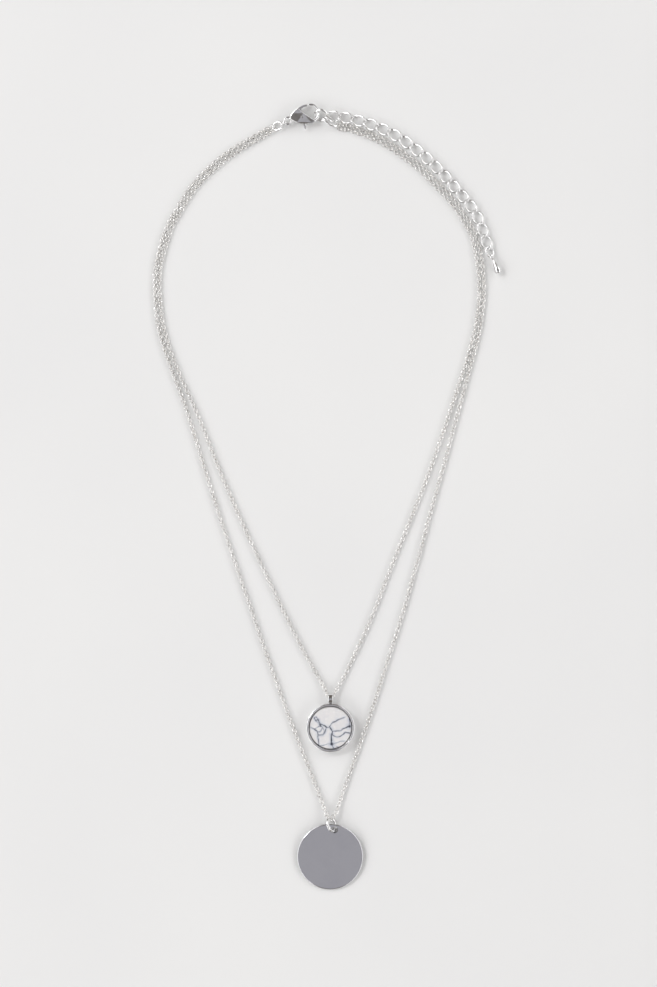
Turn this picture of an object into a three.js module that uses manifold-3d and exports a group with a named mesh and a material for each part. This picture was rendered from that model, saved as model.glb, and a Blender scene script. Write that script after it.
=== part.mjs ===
// Layered pendant necklace, laid flat: two fine cable chains of different length, a lobster clasp
// with an extender, a stone set in a bezel on the short chain and a plain disc on the long one.
// Millimetres, +Z up off the table, +Y towards the clasp. The origin is on the table, under the middle.
import * as THREE from "three";
import { mergeVertices } from "three/addons/utils/BufferGeometryUtils.js";
import Module from "manifold-3d";

const wasm = await Module();
wasm.setup();

// Clearances
const wireGap = 0.13; // between the wires of two linked rings
const seatGap = 0.3; // between a seated piece and its seat
const pinGap = 0.05; // radial, a pin in its hole

// Cable chains: each solid is a plain tube along the links
const chainTube = 1.1;
const chainSides = 8;
const chainSteps = 40;

// Lobster clasp
const claspThickness = 3.2;
const openingRadius = 2.1;
const openingFlat = 1.25; // from the opening's centre to the straight edge of the body
const flatHeading = -32.4; // degrees
const claspEdge = 0.25; // rounding of the bulb
const armWire = 0.9;
const armLean = 0.4; // how far the arm's centre line lies outside the opening
const eyeRadius = 1.05; // to the middle of the eye's wire
const eyeWire = 0.65;
const eyeReach = 6.85; // from the opening's centre to the eye's centre
const eyeDrop = -2.4;
const bulbReach = 6.1; // from the opening's centre to the neck
const bulbDepth = 3.45;
const pinRadius = 0.4;
const leverThickness = 1.0;
const slotGap = 0.12; // each side of the lever
const gateWidth = 0.7;
const tabLength = 3.75; // from the pin's centre
const springWire = 0.16;
const springRadius = 0.36;
const springTurns = 4;
const tipAngle = 100; // degrees round the opening, where the hook ends
const leverHub = 0.85;
const neckLeft = -1.0; // the neck's two edges, below the opening's centre
const neckRight = -1.8;
const springStart = -4.6;
const springLength = 1.05;
const springDrop = 0.75; // below the pin

// Rings at the ends of the chains
const ringWire = 0.7;
const leftRingLength = 3.4;
const leftRingWidth = 2.9;
const leftRingWire = 0.55;
const leftRingHeading = 206.6;
const claspRingLength = 3.0;
const claspRingWidth = 2.4;
const claspRingWire = 0.5;
const hookRingRadius = 1.96; // to the middle of the wire
const hookRingHold = 1.26; // from the clasp's arm to the ring's wire inside the opening
const rightRingLength = 5.52;
const rightRingWidth = 3.12;

// Extender
const linkCount = 17;
const linkPitch = 3.97;
const linkWidth = 3.6;
const linkWire = 0.55;
const linkTwist = 45; // degrees, each end turned one way and the other
const endRingLength = 3.6;
const endRingWidth = 3.0;
const endRingWire = 0.5;
const dropEyeRadius = 0.85;
const dropEyeWire = 0.5;
const dropLength = 5.0;
const dropRadius = 1.15;
const dropNeck = 0.28; // radius
const tailHeading = -69;

// Stone pendant
const bezelRadius = 7.35;
const bezelWall = 0.7;
const bezelHeight = 3.0;
const bezelFloor = 0.6;
const bezelEdge = 0.3; // rounding
const stoneThickness = 1.7;
const stoneEdge = 0.45; // rounding
const bailRadius = 1.6;
const bailWall = 0.5;
const bailWidth = 1.4;
const bailEdge = 0.15;

// Disc pendant
const discRadius = 10;
const discThickness = 0.9;
const discEdge = 0.3; // rounding
const discHoleRadius = 1.0;
const discHoleInset = 1.7; // from the rim to the hole's centre
const discRingRadius = 2.1;
const discRingWire = 0.75;
const discRingTilt = 58; // degrees off the table, leaning to the right
const discRingHeading = 17; // degrees, turned on the table after leaning
const discRingTurn = -66.8; // degrees round the ring, where the disc's hole is
const discHoleLift = 0.06; // from the ring's wire up to the middle of the hole
const discTurn = -9.3; // degrees, its hole is to the right of its middle

// Places on the table
const openingCentre = new THREE.Vector3(-5.3, 116.0, claspThickness / 2);
const bailCentre = new THREE.Vector3(0.75, -61.35, bailRadius);
const discRingPlace = new THREE.Vector2(1.0, -99.3);

const shortLeftRoute = [
  [-17.35, 110.3, 0.8], [-18.9, 109.2, 0.7], [-21.7, 107.6, 0.7], [-24.7, 106.0, 0.7], [-27.8, 104.0, 0.7],
  [-30.8, 102.0, 0.7], [-33.7, 99.5, 0.7], [-36.7, 96.9, 0.7], [-39.7, 93.7, 0.7], [-42.6, 89.6, 0.7],
  [-45.4, 84.9, 0.7], [-47.2, 81.7, 0.7], [-48.7, 77.4, 0.7], [-50.0, 72.8, 0.7], [-50.9, 68.4, 0.7],
  [-51.1, 63.9, 0.7], [-50.9, 59.5, 0.7], [-50.0, 52.0, 0.7], [-47.9, 44.5, 0.7], [-44.9, 36.6, 0.7],
  [-41.5, 29.1, 0.7], [-38.2, 21.5, 0.7], [-35.3, 13.9, 0.7], [-32.3, 6.4, 0.7], [-29.0, -1.2, 0.7],
  [-25.7, -8.8, 0.7], [-22.2, -16.4, 0.7], [-18.7, -23.9, 0.7], [-15.1, -31.5, 0.7], [-11.4, -39.1, 0.7],
  [-7.5, -46.7, 0.7], [-3.3, -54.2, 0.7], [-0.7, -58.9, 1.2],
];
const shortRightRoute = [
  [2.4, -59.0, 1.2], [5.1, -54.2, 0.7], [8.7, -46.7, 0.7], [12.2, -39.1, 0.7], [15.3, -31.5, 0.7],
  [18.2, -23.9, 0.7], [21.2, -16.4, 0.7], [24.3, -8.8, 0.7], [27.4, -1.2, 0.7], [30.3, 6.4, 0.7],
  [33.0, 13.9, 0.7], [35.6, 21.5, 0.7], [38.1, 29.1, 0.7], [40.6, 36.7, 0.7], [42.9, 44.2, 0.7],
  [44.8, 51.8, 0.7], [45.7, 59.4, 0.7], [45.7, 63.9, 0.7], [45.5, 68.5, 0.7], [44.7, 73.2, 0.7],
  [43.7, 77.8, 0.7], [41.8, 81.8, 0.7], [39.4, 85.7, 0.7], [37.0, 88.9, 0.7], [34.6, 91.6, 0.7],
  [32.2, 94.0, 0.7], [29.8, 96.6, 0.7], [27.4, 98.9, 0.7], [25.0, 100.9, 0.7], [22.5, 102.7, 0.7],
  [20.2, 104.4, 0.7], [17.8, 105.9, 0.7], [15.5, 107.3, 0.7], [13.0, 108.3, 0.7], [10.6, 109.3, 0.7],
  [8.3, 110.2, 0.7], [5.9, 111.0, 0.7], [3.8, 111.1, 0.8],
];
const longLeftRoute = [
  [-17.9, 111.35, 0.8], [-19.6, 110.6, 0.7], [-22.4, 108.9, 0.7], [-25.4, 107.2, 0.7], [-28.6, 105.2, 0.7],
  [-31.7, 103.1, 0.7], [-34.7, 100.6, 0.7], [-37.7, 97.9, 0.7], [-40.8, 94.6, 0.7], [-43.9, 90.3, 0.7],
  [-46.6, 85.6, 0.7], [-48.5, 82.2, 0.7], [-50.1, 77.8, 0.7], [-51.4, 73.1, 0.7], [-52.3, 68.5, 0.7],
  [-52.5, 63.9, 0.7], [-52.3, 59.3, 0.7], [-51.5, 51.7, 0.7], [-49.4, 44.0, 0.7], [-46.7, 36.6, 0.7],
  [-43.9, 29.1, 0.7], [-41.4, 21.5, 0.7], [-39.1, 13.9, 0.7], [-36.8, 6.4, 0.7], [-34.4, -1.2, 0.7],
  [-32.0, -8.8, 0.7], [-29.4, -16.4, 0.7], [-26.9, -23.9, 0.7], [-24.3, -31.5, 0.7], [-21.7, -39.1, 0.7],
  [-19.1, -46.7, 0.7], [-16.4, -54.2, 0.7], [-12.6, -64.8, 0.7], [-9.1, -74.0, 0.7], [-5.6, -83.0, 0.7],
  [-2.1, -92.1, 0.9], [-0.6, -96.0, 1.6],
];
const longRightRoute = [
  [2.4, -96.2, 1.6], [3.7, -92.1, 0.9], [6.9, -83.0, 0.7], [10.1, -74.0, 0.7], [13.3, -64.8, 0.7],
  [16.7, -54.2, 0.7], [21.5, -39.1, 0.7], [23.8, -31.5, 0.7], [25.9, -23.9, 0.7], [28.0, -16.4, 0.7],
  [30.0, -8.8, 0.7], [32.1, -1.2, 0.7], [36.3, 13.9, 0.7], [38.3, 21.5, 0.7], [40.4, 29.1, 0.7],
  [42.4, 36.7, 0.7], [44.4, 44.0, 0.7], [46.2, 51.7, 0.7], [47.1, 59.4, 0.7], [47.2, 64.0, 0.7],
  [46.9, 68.7, 0.7], [46.2, 73.5, 0.7], [45.0, 78.3, 0.7], [43.1, 82.5, 0.7], [40.5, 86.6, 0.7],
  [38.1, 89.8, 0.7], [35.6, 92.6, 0.7], [33.2, 95.1, 0.7], [30.8, 97.6, 0.7], [28.3, 100.0, 0.7],
  [25.9, 102.0, 0.7], [23.4, 103.8, 0.7], [21.0, 105.6, 0.7], [18.6, 107.1, 0.7], [16.1, 108.6, 0.7],
  [13.6, 109.6, 0.7], [11.1, 110.6, 0.7], [8.7, 111.5, 0.7], [6.3, 112.2, 0.7], [4.3, 112.45, 0.8],
];
// Which way each extender link points, in degrees, from the clasp outwards
const linkHeadings = [
  -1, -9, -14, -19, -23, -29, -35, -37.5, -40.5, -45, -47, -49.5, -48.5, -52, -63, -71.5, -73,
];
const firstLinkRoll = -8;
// The places above are a little off the necklace's middle, and this brings it to the origin
const middleOffset = new THREE.Vector3(0.201, 0.241, 0);

const silver = () => new THREE.MeshStandardMaterial({ color: 0xd6d6d8, roughness: 0.16, metalness: 1 });
const fineSilver = () => new THREE.MeshStandardMaterial({ color: 0xcfcfd0, roughness: 0.24, metalness: 1 });
const steel = () => new THREE.MeshStandardMaterial({ color: 0x9d9fa2, roughness: 0.3, metalness: 1 });
const howlite = () => new THREE.MeshStandardMaterial({ color: 0xe6e4e6, roughness: 0.35, metalness: 0 });

const radians = THREE.MathUtils.degToRad;
const heading = (degrees, slope = 0) =>
  new THREE.Vector3(
    Math.cos(radians(degrees)) * Math.cos(radians(slope)),
    Math.sin(radians(degrees)) * Math.cos(radians(slope)),
    Math.sin(radians(slope)),
  );

const necklace = new THREE.Group();

function add(name, geometry, material, parent = necklace) {
  const mesh = new THREE.Mesh(geometry, material);
  mesh.name = name;
  parent.add(mesh);
  return mesh;
}

function solid(geometry) {
  const bare = geometry.clone();
  bare.deleteAttribute("normal");
  bare.deleteAttribute("uv");
  const merged = mergeVertices(bare, 1e-4);
  return new wasm.Manifold(
    new wasm.Mesh({
      numProp: 3,
      vertProperties: merged.attributes.position.array,
      triVerts: new Uint32Array(merged.index.array),
    }),
  );
}

function geometryOf(manifold) {
  const mesh = manifold.getMesh();
  const geometry = new THREE.BufferGeometry();
  geometry.setAttribute("position", new THREE.BufferAttribute(mesh.vertProperties, 3));
  geometry.setIndex(new THREE.BufferAttribute(mesh.triVerts, 1));
  geometry.computeVertexNormals();
  return geometry;
}

function roundSection(radius, sides) {
  const corners = [];
  for (let i = 0; i < sides; i++) {
    const angle = (2 * Math.PI * (i + 0.5)) / sides;
    corners.push(new THREE.Vector2(radius * Math.cos(angle), radius * Math.sin(angle)));
  }
  return new THREE.Shape(corners);
}

function tube(curve, diameter, steps, sides) {
  const options = { steps, bevelEnabled: false, extrudePath: curve };
  return new THREE.ExtrudeGeometry(roundSection(diameter / 2, sides), options);
}

// A closed wire: an oval of half length a and half width b, its ends turned opposite ways by twist
function wireRing(a, b, wire, twist = 0, steps = 20, sides = 7) {
  const positions = [];
  const at = (i) => {
    const angle = (2 * Math.PI * i) / steps;
    const turn = radians(twist) * Math.cos(angle);
    const side = b * Math.sin(angle);
    return new THREE.Vector3(a * Math.cos(angle), side * Math.cos(turn), side * Math.sin(turn));
  };
  const section = (i) => {
    const centre = at(i);
    const along = at(i + 1).sub(at(i - 1)).normalize();
    const outward = centre.clone().sub(along.clone().multiplyScalar(centre.dot(along))).normalize();
    const across = new THREE.Vector3().crossVectors(along, outward);
    const corners = [];
    for (let j = 0; j < sides; j++) {
      const angle = (2 * Math.PI * j) / sides;
      const corner = centre.clone().addScaledVector(outward, (wire / 2) * Math.cos(angle));
      corners.push(corner.addScaledVector(across, (wire / 2) * Math.sin(angle)));
    }
    return corners;
  };
  for (let i = 0; i < steps; i++) {
    const here = section(i);
    const next = section((i + 1) % steps);
    for (let j = 0; j < sides; j++) {
      const k = (j + 1) % sides;
      for (const corner of [here[j], next[k], next[j], here[j], here[k], next[k]]) {
        positions.push(corner.x, corner.y, corner.z);
      }
    }
  }
  const geometry = new THREE.BufferGeometry();
  geometry.setAttribute("position", new THREE.Float32BufferAttribute(positions, 3));
  geometry.computeVertexNormals();
  return geometry;
}

// Puts a piece whose length runs along X at a point, pointing along a heading and rolled about its length
function place(object, point, turn, slope = 0, roll = 0) {
  object.position.copy(point);
  object.rotation.set(radians(roll), -radians(slope), radians(turn), "ZYX");
  return object;
}

function addChains() {
  const halves = {
    short_chain_left: shortLeftRoute,
    short_chain_right: shortRightRoute,
    long_chain_left: longLeftRoute,
    long_chain_right: longRightRoute,
  };
  for (const [name, route] of Object.entries(halves)) {
    const curve = new THREE.CatmullRomCurve3(route.map((point) => new THREE.Vector3(...point)));
    add(name, tube(curve, chainTube, chainSteps, chainSides), fineSilver());
  }
}

// The clasp, in its own frame: the opening's centre at the origin and +Z off the table
const armRadius = openingRadius + armLean;
const pinPlace = new THREE.Vector2(-2.55, -1.35);
const gateRoot = new THREE.Vector2(-3.45, 1.0);

function claspBodyGeometry() {
  // the drawn outline is the body less its rounded edge
  const inner = openingRadius + claspEdge;
  const neck = -bulbReach + claspEdge;
  const foot = -bulbDepth + claspEdge;
  const flatEnd = THREE.MathUtils.radToDeg(Math.acos((openingFlat + claspEdge) / inner));
  const outline = new THREE.Shape();
  outline.absarc(0, 0, inner, radians(-66), radians(flatHeading - 90 + flatEnd), true);
  outline.lineTo(
    inner * Math.cos(radians(flatHeading - 90 - flatEnd)),
    inner * Math.sin(radians(flatHeading - 90 - flatEnd)),
  );
  outline.lineTo(-3.1, 0.6);
  outline.lineTo(-3.8, 1.2);
  outline.quadraticCurveTo(-5.3, 0.3, neck, neckLeft);
  outline.lineTo(neck, neckRight);
  outline.quadraticCurveTo(-4.2, foot + 0.15, -1.4, foot);
  outline.quadraticCurveTo(0.6, foot + 0.1, 1.4, foot + 0.7);
  const bulb = new THREE.ExtrudeGeometry(outline, {
    depth: claspThickness - 4 * claspEdge,
    bevelThickness: 2 * claspEdge,
    bevelSize: claspEdge,
    bevelSegments: 2,
    curveSegments: 10,
  }).translate(0, 0, -claspThickness / 2 + 2 * claspEdge);

  const armPoints = [];
  for (let angle = -75; angle <= tipAngle; angle += 17.5) {
    const turn = radians(angle);
    armPoints.push(new THREE.Vector3(armRadius * Math.cos(turn), armRadius * Math.sin(turn), 0));
  }
  const arm = tube(new THREE.CatmullRomCurve3(armPoints), armWire, 16, 8);

  const eye = new THREE.TorusGeometry(eyeRadius, eyeWire / 2, 8, 18);
  eye.translate(-eyeReach, eyeDrop, 0);

  const slot = new THREE.BoxGeometry(3.6, 9, leverThickness + 2 * slotGap).translate(-2.95, 0, 0);
  const holeRadius = pinRadius + pinGap;
  const pinHole = new THREE.CylinderGeometry(holeRadius, holeRadius, claspThickness * 2, 16);
  pinHole.rotateX(Math.PI / 2).translate(pinPlace.x, pinPlace.y, 0);

  const body = solid(bulb).subtract(solid(slot)).subtract(solid(pinHole));
  return geometryOf(body.add(solid(arm)).add(solid(eye)));
}

function leverGeometry() {
  const gateTip = new THREE.Vector2(
    (armRadius + 0.05) * Math.cos(radians(tipAngle + 14)),
    (armRadius + 0.05) * Math.sin(radians(tipAngle + 14)),
  );
  const outline = new THREE.Shape();
  outline.moveTo(pinPlace.x + leverHub, pinPlace.y);
  outline.lineTo(gateRoot.x + gateWidth, gateRoot.y + 0.1);
  outline.quadraticCurveTo(-2.3, 1.7, gateTip.x + 0.25, gateTip.y - gateWidth / 2);
  outline.lineTo(gateTip.x - 0.05, gateTip.y + gateWidth / 3);
  outline.quadraticCurveTo(-3.0, 2.2, gateRoot.x - 0.35, gateRoot.y + 0.35);
  outline.lineTo(pinPlace.x - leverHub, pinPlace.y);
  outline.lineTo(pinPlace.x + 0.15, pinPlace.y - leverHub - 0.6);
  outline.lineTo(pinPlace.x + 0.72, pinPlace.y - tabLength + 0.25);
  const tabFoot = pinPlace.y - tabLength;
  outline.quadraticCurveTo(pinPlace.x + 0.97, tabFoot, pinPlace.x + 1.22, tabFoot + 0.25);
  outline.lineTo(pinPlace.x + 0.75, pinPlace.y - leverHub);
  const hole = new THREE.Path();
  hole.absarc(pinPlace.x, pinPlace.y, pinRadius + pinGap, 0, 2 * Math.PI, true);
  outline.holes.push(hole);
  const lever = new THREE.ExtrudeGeometry(outline, {
    depth: leverThickness,
    bevelEnabled: false,
    curveSegments: 8,
  });
  return lever.translate(0, 0, -leverThickness / 2);
}

function addClasp() {
  const clasp = new THREE.Group();
  clasp.position.copy(openingCentre);
  necklace.add(clasp);
  add("clasp_body", claspBodyGeometry(), silver(), clasp);
  add("clasp_lever", leverGeometry(), silver(), clasp);
  const pin = new THREE.CylinderGeometry(pinRadius, pinRadius, claspThickness, 16);
  pin.rotateX(Math.PI / 2).translate(pinPlace.x, pinPlace.y, 0);
  add("clasp_pivot_pin", pin, steel(), clasp);
  const coil = [];
  const stepsPerTurn = 8;
  for (let i = 0; i <= springTurns * stepsPerTurn; i++) {
    const angle = (2 * Math.PI * i) / stepsPerTurn;
    const along = springStart + (springLength * i) / (springTurns * stepsPerTurn);
    const side = pinPlace.y - springDrop + springRadius * Math.cos(angle);
    coil.push(new THREE.Vector3(along, side, springRadius * Math.sin(angle)));
  }
  add("clasp_spring", tube(new THREE.CatmullRomCurve3(coil), springWire, 64, 5), steel(), clasp);
}

// Rings round the clasp: a small one in its eye and one for both left chain ends, one in the hook and
// one for both right chain ends
const hookRing = wireRing(hookRingRadius, hookRingRadius, ringWire);
const hookRingCentre = openingCentre.clone().add(
  new THREE.Vector3(armRadius + hookRingRadius - hookRingHold, -0.71, 0.17),
);

function addEndRings() {
  const eyeCentre = openingCentre.clone().add(new THREE.Vector3(-eyeReach, eyeDrop, 0));
  const eyeEdge = eyeCentre.addScaledVector(heading(leftRingHeading), eyeRadius);
  const claspHalf = (claspRingLength - claspRingWire) / 2;
  const claspRing = wireRing(claspHalf, (claspRingWidth - claspRingWire) / 2, claspRingWire);
  const claspReach = claspHalf - (claspRingWire + eyeWire) / 2 - wireGap;
  const claspCentre = eyeEdge.addScaledVector(heading(leftRingHeading, -8), claspReach);
  place(add("clasp_ring", claspRing, silver()), claspCentre, leftRingHeading, -8, 78);

  const leftHalf = (leftRingLength - leftRingWire) / 2;
  const leftRing = wireRing(leftHalf, (leftRingWidth - leftRingWire) / 2, leftRingWire);
  const leftReach = claspHalf + leftHalf - (claspRingWire + leftRingWire) / 2 - 1.5 * wireGap;
  const leftCentre = claspCentre.clone().addScaledVector(heading(leftRingHeading, -9), leftReach);
  place(add("left_end_ring", leftRing, silver()), leftCentre, leftRingHeading, -14, 8);

  place(add("hook_ring", hookRing, silver()), hookRingCentre, -16.5, -1.2, 42.5);

  const rightHalf = (rightRingLength - ringWire) / 2;
  const rightRing = wireRing(rightHalf, (rightRingWidth - ringWire) / 2, ringWire);
  const rightStart = new THREE.Vector3(0.36, -0.34, -0.27).multiplyScalar(hookRingRadius);
  const rightCentre = rightStart.add(hookRingCentre).addScaledVector(heading(-28.9, -2), rightHalf);
  place(add("right_end_ring", rightRing, silver()), rightCentre, -28.9, -2, -39.3);
}

// Extender links, laid one after another from the hook ring outwards
function addExtender() {
  const overlap = linkWire + wireGap;
  const half = (linkPitch + overlap) / 2;
  const halfWidth = (linkWidth - linkWire) / 2;
  const link = wireRing(half, halfWidth, linkWire, linkTwist);
  // the highest point of the twisted wire's middle line, an eighth of a turn round
  const lift = linkWire / 2 + halfWidth * 0.71 * Math.sin(0.71 * radians(linkTwist)) + 0.02;
  const hold = hookRingRadius - (ringWire + linkWire) / 2 - 0.09;
  const start = new THREE.Vector3(1, -0.29, 0.235).multiplyScalar(hold).add(hookRingCentre);
  const heights = [start.z, lift + 0.37 * (start.z - lift), lift];
  for (let i = 0; i < linkCount; i++) {
    const from = heights[Math.min(i, 2)];
    const to = heights[Math.min(i + 1, 2)];
    const slope = THREE.MathUtils.radToDeg(Math.asin((to - from) / (2 * half)));
    const turn = linkHeadings[i];
    const direction = heading(turn, slope);
    const name = "extender_link_" + String(i + 1).padStart(2, "0");
    const mesh = add(name, link, silver());
    place(mesh, start.clone().addScaledVector(direction, half), turn, slope, i === 0 ? firstLinkRoll : 0);
    start.addScaledVector(direction, 2 * half - overlap);
    start.z = to;
  }
  start.addScaledVector(heading(linkHeadings[linkCount - 1]), overlap);
  addTail(start);
}

// The ring that closes the extender, and the drop that hangs from it
function addTail(linkEnd) {
  const turn = tailHeading;
  const direction = heading(turn);
  const half = (endRingLength - endRingWire) / 2;
  const ring = wireRing(half, (endRingWidth - endRingWire) / 2, endRingWire);
  const centre = linkEnd.clone().addScaledVector(direction, half - 0.86);
  centre.z = 0.98;
  place(add("extender_end_ring", ring, silver()), centre, turn, 2.5, -22.4);

  const eyeCentre = centre.clone().addScaledVector(direction, half + dropEyeRadius - 0.72);
  eyeCentre.z = dropEyeRadius + dropEyeWire / 2 + 0.02;
  const eye = solid(wireRing(dropEyeRadius, dropEyeRadius, dropEyeWire, 0, 16, 6));
  const neck = dropEyeRadius - 0.1;
  const profile = [new THREE.Vector2(0, 0), new THREE.Vector2(dropNeck, 0)];
  for (let i = 1; i <= 10; i++) {
    const t = i / 10;
    const width = dropNeck + (dropRadius - dropNeck) * Math.sin((Math.PI / 2) * t) ** 2;
    profile.push(new THREE.Vector2(width, t * (dropLength - dropRadius)));
  }
  for (let i = 1; i < 6; i++) {
    const angle = (Math.PI / 2) * (i / 6);
    const reach = dropLength - dropRadius + dropRadius * Math.sin(angle);
    profile.push(new THREE.Vector2(dropRadius * Math.cos(angle), reach));
  }
  profile.push(new THREE.Vector2(0, dropLength));
  const bulb = new THREE.LatheGeometry(profile, 16).rotateZ(-Math.PI / 2).translate(neck, 0, 0);
  const drop = add("drop_charm", geometryOf(eye.add(solid(bulb))), silver());
  place(drop, eyeCentre, turn + 4, 1.6, 70);
}

function addStonePendant() {
  const bezelPlace = new THREE.Vector3(bailCentre.x, bailCentre.y - bailRadius - bezelRadius + 0.15, 0);
  const inner = bezelRadius - bezelWall;
  const cup = new THREE.LatheGeometry(
    [
      new THREE.Vector2(0, 0),
      new THREE.Vector2(bezelRadius - bezelEdge, 0),
      new THREE.Vector2(bezelRadius, bezelEdge),
      new THREE.Vector2(bezelRadius, bezelHeight - bezelEdge),
      new THREE.Vector2(bezelRadius - bezelEdge, bezelHeight),
      new THREE.Vector2(inner, bezelHeight - bezelEdge / 2),
      new THREE.Vector2(inner, bezelFloor),
      new THREE.Vector2(0, bezelFloor),
    ],
    48,
  ).rotateX(Math.PI / 2);
  const bailInner = bailRadius - bailWall;
  const bail = new THREE.LatheGeometry(
    [
      new THREE.Vector2(bailInner, -bailWidth / 2),
      new THREE.Vector2(bailRadius, -bailWidth / 2 + bailEdge),
      new THREE.Vector2(bailRadius, bailWidth / 2 - bailEdge),
      new THREE.Vector2(bailInner, bailWidth / 2),
      new THREE.Vector2(bailInner, -bailWidth / 2),
    ],
    24,
  );
  bail.rotateZ(-Math.PI / 2).translate(0, bailCentre.y - bezelPlace.y, bailCentre.z);
  const bezel = add("stone_bezel", geometryOf(solid(cup).add(solid(bail))), silver());
  bezel.position.copy(bezelPlace);

  const stoneRadius = inner - seatGap;
  const stoneFoot = bezelFloor + seatGap;
  const stone = new THREE.LatheGeometry(
    [
      new THREE.Vector2(0, 0),
      new THREE.Vector2(stoneRadius, 0),
      new THREE.Vector2(stoneRadius, stoneThickness - 0.8 * stoneEdge),
      new THREE.Vector2(stoneRadius - 0.25 * stoneEdge, stoneThickness - 0.25 * stoneEdge),
      new THREE.Vector2(stoneRadius - stoneEdge, stoneThickness),
      new THREE.Vector2(0, stoneThickness),
    ],
    48,
  ).rotateX(Math.PI / 2);
  const stoneMesh = add("howlite_stone", stone, howlite());
  stoneMesh.position.copy(bezelPlace).setZ(stoneFoot);
}

function addDiscPendant() {
  const ring = wireRing(discRingRadius, discRingRadius, discRingWire, 0, 22, 8);
  const rise = discRingRadius * Math.sin(radians(discRingTilt)) + discRingWire / 2;
  const ringMesh = add("disc_jump_ring", ring, silver());
  ringMesh.position.set(discRingPlace.x, discRingPlace.y, rise + 0.02);
  ringMesh.rotation.set(0, radians(discRingTilt), radians(discRingHeading), "ZYX");
  const held = heading(discRingTurn).multiplyScalar(discRingRadius);
  held.applyEuler(ringMesh.rotation).add(ringMesh.position);

  const face = new THREE.Shape();
  face.absarc(0, 0, discRadius - discEdge, 0, 2 * Math.PI, false);
  const hole = new THREE.Path();
  hole.absarc(0, discRadius - discHoleInset, discHoleRadius + discEdge / 2, 0, 2 * Math.PI, true);
  face.holes.push(hole);
  const disc = new THREE.ExtrudeGeometry(face, {
    depth: discThickness - discEdge,
    bevelThickness: discEdge / 2,
    bevelSize: discEdge,
    bevelSegments: 2,
    curveSegments: 32,
  }).translate(0, 0, -(discThickness - discEdge) / 2);
  const discMesh = add("disc_pendant", disc, steel());
  // the disc lies on its lower edge and on the ring at its hole
  const arm = new THREE.Vector2(0, discRadius - discHoleInset);
  arm.rotateAround(new THREE.Vector2(), radians(discTurn));
  const slope = Math.asin((held.z + discHoleLift - discThickness / 2) / (discRadius + arm.y));
  const height = discThickness / 2 + discRadius * Math.sin(slope);
  discMesh.position.set(held.x - arm.x, held.y - arm.y * Math.cos(slope), height);
  discMesh.rotation.set(slope, 0, radians(discTurn));
}

addClasp();
addEndRings();
addChains();
addExtender();
addStonePendant();
addDiscPendant();

necklace.position.copy(middleOffset);
necklace.updateMatrixWorld(true);
export default necklace;
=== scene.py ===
# Layered necklace laid flat on a pale table: two cable chains on one lobster clasp, an extender,
# a howlite stone in a bezel and a polished disc. Metres, +Z up off the table, +Y towards the clasp.
import math

import bmesh
import bpy
import numpy
from mathutils import Matrix, Vector, noise


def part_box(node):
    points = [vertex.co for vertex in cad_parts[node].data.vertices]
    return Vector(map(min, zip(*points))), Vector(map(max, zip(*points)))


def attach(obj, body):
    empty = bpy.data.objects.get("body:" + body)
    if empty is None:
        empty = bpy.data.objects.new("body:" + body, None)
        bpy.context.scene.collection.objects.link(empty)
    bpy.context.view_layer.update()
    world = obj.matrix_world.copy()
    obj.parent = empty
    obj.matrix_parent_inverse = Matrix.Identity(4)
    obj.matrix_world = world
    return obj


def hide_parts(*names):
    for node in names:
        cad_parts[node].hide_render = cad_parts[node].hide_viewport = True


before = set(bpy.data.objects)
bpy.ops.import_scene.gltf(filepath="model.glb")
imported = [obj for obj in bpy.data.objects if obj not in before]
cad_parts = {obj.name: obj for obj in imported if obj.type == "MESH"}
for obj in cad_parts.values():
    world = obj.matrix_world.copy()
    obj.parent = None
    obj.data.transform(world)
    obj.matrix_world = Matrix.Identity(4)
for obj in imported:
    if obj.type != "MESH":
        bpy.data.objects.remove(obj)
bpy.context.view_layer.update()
scene = bpy.context.scene
scene.view_settings.view_transform = "Standard"
scene.view_settings.look = "None"

mm = 0.001
middleOffset = Vector((0.000201, 0.000241, 0))


def middleOf(node):
    low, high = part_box(node)
    return (Vector(low) + Vector(high)) / 2


def heading(degrees):
    turn = math.radians(degrees)
    return Vector((math.cos(turn), math.sin(turn), 0))


# a piece made along X is laid at a point, turned to a heading and rolled about its length
def placed(point, turn, slope=0.0, roll=0.0):
    turned = Matrix.Rotation(math.radians(turn), 4, "Z")
    tipped = Matrix.Rotation(-math.radians(slope), 4, "Y")
    rolled = Matrix.Rotation(math.radians(roll), 4, "X")
    return Matrix.Translation(point) @ turned @ tipped @ rolled


def pieceFromMesh(name, mesh):
    piece = bpy.data.objects.new(name, mesh)
    scene.collection.objects.link(piece)
    return piece


def meshFrom(name, points, faces, smooth=True):
    mesh = bpy.data.meshes.new(name)
    mesh.from_pydata([tuple(point) for point in points], [], faces)
    mesh.validate()
    if smooth:
        mesh.shade_smooth()
    return mesh


def facesOutwards(mesh):
    work = bmesh.new()
    work.from_mesh(mesh)
    bmesh.ops.remove_doubles(work, verts=work.verts, dist=1e-7)
    bmesh.ops.recalc_face_normals(work, faces=work.faces)
    work.to_mesh(mesh)
    work.free()
    return mesh


def joined(name, meshes):
    work = bmesh.new()
    for mesh in meshes:
        work.from_mesh(mesh)
    whole = bpy.data.meshes.new(name)
    work.to_mesh(whole)
    work.free()
    return whole


# the modifiers on a working object are turned into a plain mesh, and the object is removed
def settled(piece):
    depsgraph = bpy.context.evaluated_depsgraph_get()
    mesh = bpy.data.meshes.new_from_object(piece.evaluated_get(depsgraph))
    bpy.data.objects.remove(piece)
    return mesh


# one finish for the whole piece, and what the frame has to know of it
def hand(piece, body, material, node):
    piece.data.materials.clear()
    piece.data.materials.append(material)
    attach(piece, body)
    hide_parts(node)
    return piece


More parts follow.
